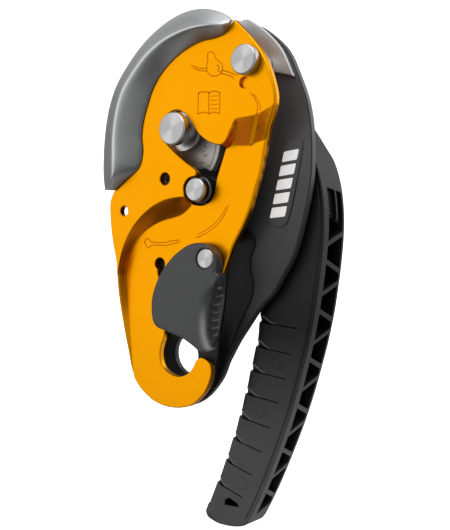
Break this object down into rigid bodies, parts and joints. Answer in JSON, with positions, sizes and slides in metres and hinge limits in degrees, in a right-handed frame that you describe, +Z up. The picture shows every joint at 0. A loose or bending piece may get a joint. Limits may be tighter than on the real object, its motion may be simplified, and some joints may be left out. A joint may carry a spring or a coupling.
{
  "type": "rope descender",
  "caption": "Self-braking rope descender: hinged side plate with a hooked eye and gate, steel friction rim, cam between the plates, and a long handle behind.",
  "frame": {"origin": "centre of the attachment eye, on the front face of the fixed side plate", "axes": "+Z up along the device from the eye to the friction rim, +Y from the front of the device to the handle behind, +X to the right seen from the front"},
  "size_m": [0.1107, 0.0496, 0.2397],
  "materials": {
    "yellow": "gloss orange-yellow anodised",
    "rim_steel": "satin stainless",
    "steel": "turned stainless",
    "light_steel": "bead-blasted stainless",
    "charcoal": "charcoal anodised",
    "nylon": "fine moulded texture",
    "spring_wire": "drawn wire"
  },
  "bodies": {
    "frame": {"fixed_side_plate": "charcoal", "rear_friction_rim": "light_steel", "spacer_body": "nylon", "body_shoulder": "nylon", "badge_plate": "charcoal", "body_screw_1": "steel", "body_screw_2": "steel", "body_screw_3": "steel", "plate_pivot_axle": "steel", "pivot_bush": "steel", "cam_axle": "steel", "guide_axle": "steel", "guide_bush": "light_steel", "friction_block": "steel", "axle_nut": "steel"},
    "swing_plate": {"moving_side_plate": "yellow", "front_friction_rim": "rim_steel", "cam_stud": "steel", "guide_stud": "steel", "guide_collar": "steel", "rim_rivet_1": "steel", "rim_rivet_2": "steel", "rim_rivet_3": "steel", "gate_rivet": "steel", "catch_pin": "steel"},
    "gate": {"gate": "nylon", "gate_peg": "steel", "gate_spring": "spring_wire"},
    "catch": {"anti_error_catch": "steel"},
    "cam": {"cam": "light_steel"},
    "handle": {"handle": "nylon", "drive_disc": "steel", "hub_bush": "steel", "handle_spring": "spring_wire", "hub_cover": "nylon", "button_spring": "spring_wire"},
    "button": {"release_button": "yellow"}
  },
  "joints": [
    {"name": "plate_swing", "type": "hinge", "parent": "frame", "child": "swing_plate", "pos_m": [0.0441, 0, 0.1324], "axis": [0, 1, 0], "range_deg": [0, 100]},
    {"name": "gate_pivot", "type": "hinge", "parent": "swing_plate", "child": "gate", "pos_m": [0.0216, 0, 0.046], "axis": [0, 1, 0], "range_deg": [0, 28], "stiffness_Nm_per_rad": 0.04, "springref_deg": -34.38},
    {"name": "catch_pivot", "type": "hinge", "parent": "swing_plate", "child": "catch", "pos_m": [-0.0135, 0, 0.087], "axis": [0, 1, 0], "range_deg": [-20, 12], "stiffness_Nm_per_rad": 0.02},
    {"name": "cam_pivot", "type": "hinge", "parent": "frame", "child": "cam", "pos_m": [0.0047, 0, 0.1056], "axis": [0, 1, 0], "range_deg": [-8, 12], "stiffness_Nm_per_rad": 0.5},
    {"name": "handle_pivot", "type": "hinge", "parent": "frame", "child": "handle", "pos_m": [0.0047, 0, 0.1056], "axis": [0, 1, 0], "range_deg": [-120, 0], "stiffness_Nm_per_rad": 0.15, "springref_deg": 22.92},
    {"name": "button_press", "type": "slide", "parent": "handle", "child": "button", "axis": [0, -1, 0], "range_m": [0, 0.0026], "stiffness_N_per_m": 500, "deforming": ["button_spring"]}
  ]
}
